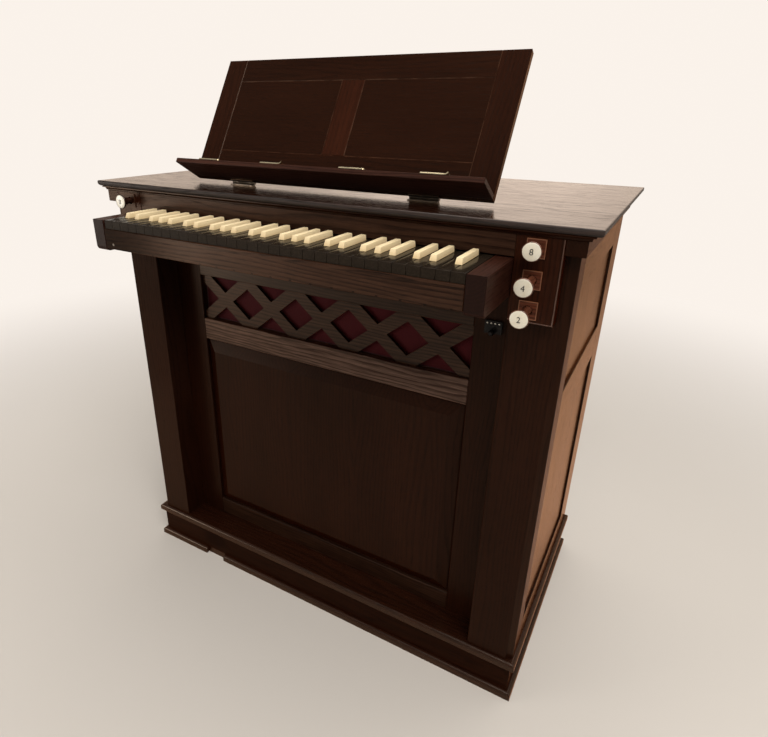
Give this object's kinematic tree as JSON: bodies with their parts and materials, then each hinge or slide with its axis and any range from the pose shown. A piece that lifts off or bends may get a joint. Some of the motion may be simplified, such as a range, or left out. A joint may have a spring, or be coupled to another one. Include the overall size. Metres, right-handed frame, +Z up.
{
  "type": "chest organ",
  "caption": "Chest organ in dark oak with a projecting keyboard, stop knobs, a pierced cloth-backed grille and a folding music desk on its lid.",
  "frame": {"origin": "on the floor, in the middle of the overall width and depth", "axes": "+X to the player's right, -Y towards the player, +Z up"},
  "size_m": [1.0936, 0.714, 1.2792],
  "materials": {
    "oak": "dark stain, satin varnish",
    "lid_oak": "dark stain, polished varnish",
    "plate_oak": "dark stain, satin varnish",
    "turned_oak": "turned, satin varnish",
    "ebony": "polished black",
    "bone": "polished bone colour",
    "white_disc": "polished white",
    "red_cloth": "woven",
    "brass": "bright",
    "bronze": "dark patina",
    "black_metal": "black"
  },
  "bodies": {
    "case": {"back_panels": "oak", "back_rails": "oak", "back_stiles": "oak", "catch": "black_metal", "cornice_rails": "oak", "front_rails": "oak", "front_stiles": "oak", "grille_cloth": "red_cloth", "grille_lattice": "oak", "hinges_lid": "bronze", "key_bed": "oak", "key_cheeks": "oak", "key_slip": "oak", "lid": "lid_oak", "lid_moulding": "oak", "lower_panel": "oak", "name_board": "oak", "naturals": "ebony", "plinth_bead": "oak", "plinth_board": "oak", "plinth_cap": "oak", "post_left": "oak", "post_right": "oak", "sharps": "bone", "side_panels": "oak", "side_rails": "oak", "side_stiles": "oak", "stop_jambs": "oak", "stop_plates": "plate_oak"},
    "knob_left": {"knob_left_face": "white_disc", "knob_left_shaft": "turned_oak"},
    "knob_top": {"knob_top_face": "white_disc", "knob_top_shaft": "turned_oak"},
    "knob_middle": {"knob_middle_face": "white_disc", "knob_middle_shaft": "turned_oak"},
    "knob_low": {"knob_low_face": "white_disc", "knob_low_shaft": "turned_oak"},
    "desk": {"desk_stiles": "oak", "desk_rails": "oak", "desk_panels": "oak", "desk_ledge": "oak", "desk_clips": "brass", "hinges_desk": "bronze"}
  },
  "joints": [
    {"name": "knob_left_slide", "type": "slide", "parent": "case", "child": "knob_left", "axis": [0, -1, 0], "range_m": [0, 0.025]},
    {"name": "knob_top_slide", "type": "slide", "parent": "case", "child": "knob_top", "axis": [0, -1, 0], "range_m": [0, 0.025]},
    {"name": "knob_middle_slide", "type": "slide", "parent": "case", "child": "knob_middle", "axis": [0, 1, 0], "range_m": [0, 0.025]},
    {"name": "knob_low_slide", "type": "slide", "parent": "case", "child": "knob_low", "axis": [0, 1, 0], "range_m": [0, 0.025]},
    {"name": "desk_fold", "type": "hinge", "parent": "case", "child": "desk", "pos_m": [0, -0.11298, 1.0295], "axis": [-1, 0, 0], "range_deg": [0, 59]}
  ]
}
